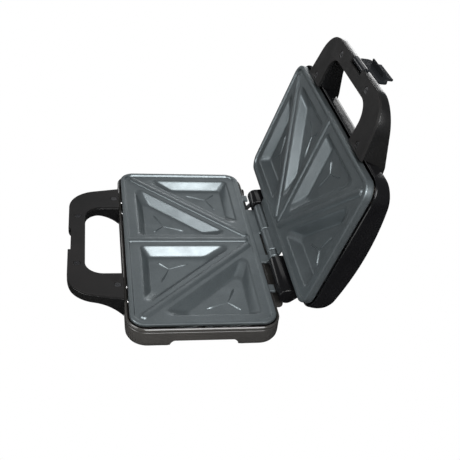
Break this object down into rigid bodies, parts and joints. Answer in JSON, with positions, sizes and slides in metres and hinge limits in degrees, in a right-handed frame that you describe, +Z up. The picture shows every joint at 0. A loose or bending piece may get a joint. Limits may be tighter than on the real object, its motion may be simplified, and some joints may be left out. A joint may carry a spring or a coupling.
{
  "type": "sandwich toaster",
  "caption": "Sandwich toaster with triangle-pocket cast plates, a hinged lid that stands open, loop handles and a folding latch lever.",
  "frame": {"origin": "middle of the footprint with the lid open, on the plane that the rubber feet stand on", "axes": "+X along the plates, -Y towards the handles, +Y towards the hinge and the open lid, +Z up"},
  "size_m": [0.2404, 0.2632, 0.2019],
  "materials": {
    "base_plastic": "moulded plastic, brown-black, semi-gloss",
    "lid_plastic": "moulded plastic, high-gloss black",
    "handle_plastic": "moulded plastic, gloss black",
    "handle_face_plastic": "moulded plastic, satin black",
    "latch_plastic": "moulded plastic, gloss black",
    "plate_coating": "die-cast aluminium with a dark grey non-stick coat",
    "element_tube": "sheathed heating tube, heat-tinted",
    "bright_steel": "plated steel",
    "dark_steel": "blackened steel",
    "reflector_sheet": "mill-finish sheet",
    "thermostat_can": "thermostat can, ceramic and plated metal",
    "terminal_plastic": "ivory terminal plastic",
    "rubber": "soft black rubber",
    "lead_glass_fibre": "glass-fibre lead sleeve",
    "red_lens": "translucent red",
    "green_lens": "translucent green",
    "lamp_glass": "neon lamp glass"
  },
  "bodies": {
    "base": {"base_housing": "base_plastic", "lower_plate": "plate_coating", "lower_element": "element_tube", "lower_element_straps": "bright_steel", "lower_reflector": "reflector_sheet", "lower_plate_screws": "bright_steel", "lower_thermostat": "thermostat_can", "thermal_fuse": "thermostat_can", "terminal_block": "terminal_plastic", "lower_handle": "handle_plastic", "lower_handle_cover": "handle_face_plastic", "lower_handle_screws": "dark_steel", "lower_handle_bolts": "bright_steel", "rubber_feet": "rubber", "hinge_pin": "bright_steel", "hinge_pin_clips": "bright_steel", "cord_gland": "rubber", "lead_sleeve": "lead_glass_fibre"},
    "lid": {"lid_housing": "lid_plastic", "upper_plate": "plate_coating", "upper_element": "element_tube", "upper_element_straps": "bright_steel", "upper_reflector": "reflector_sheet", "upper_plate_screws": "bright_steel", "upper_thermostat": "thermostat_can", "upper_handle": "handle_plastic", "upper_handle_cover": "handle_face_plastic", "upper_handle_screws": "dark_steel", "upper_handle_bolts": "bright_steel", "power_lens": "red_lens", "ready_lens": "green_lens", "indicator_lamps": "lamp_glass", "latch_pin": "bright_steel"},
    "latch": {"latch_lever": "latch_plastic"}
  },
  "joints": [
    {"name": "lid_hinge", "type": "hinge", "parent": "base", "child": "lid", "pos_m": [0, 0.05151, 0.0259], "axis": [1, 0, 0], "range_deg": [0, 106.66]},
    {"name": "latch_pivot", "type": "hinge", "parent": "lid", "child": "latch", "pos_m": [0, 0.10713, 0.19886], "axis": [1, 0, 0], "range_deg": [0, 168.3]}
  ]
}
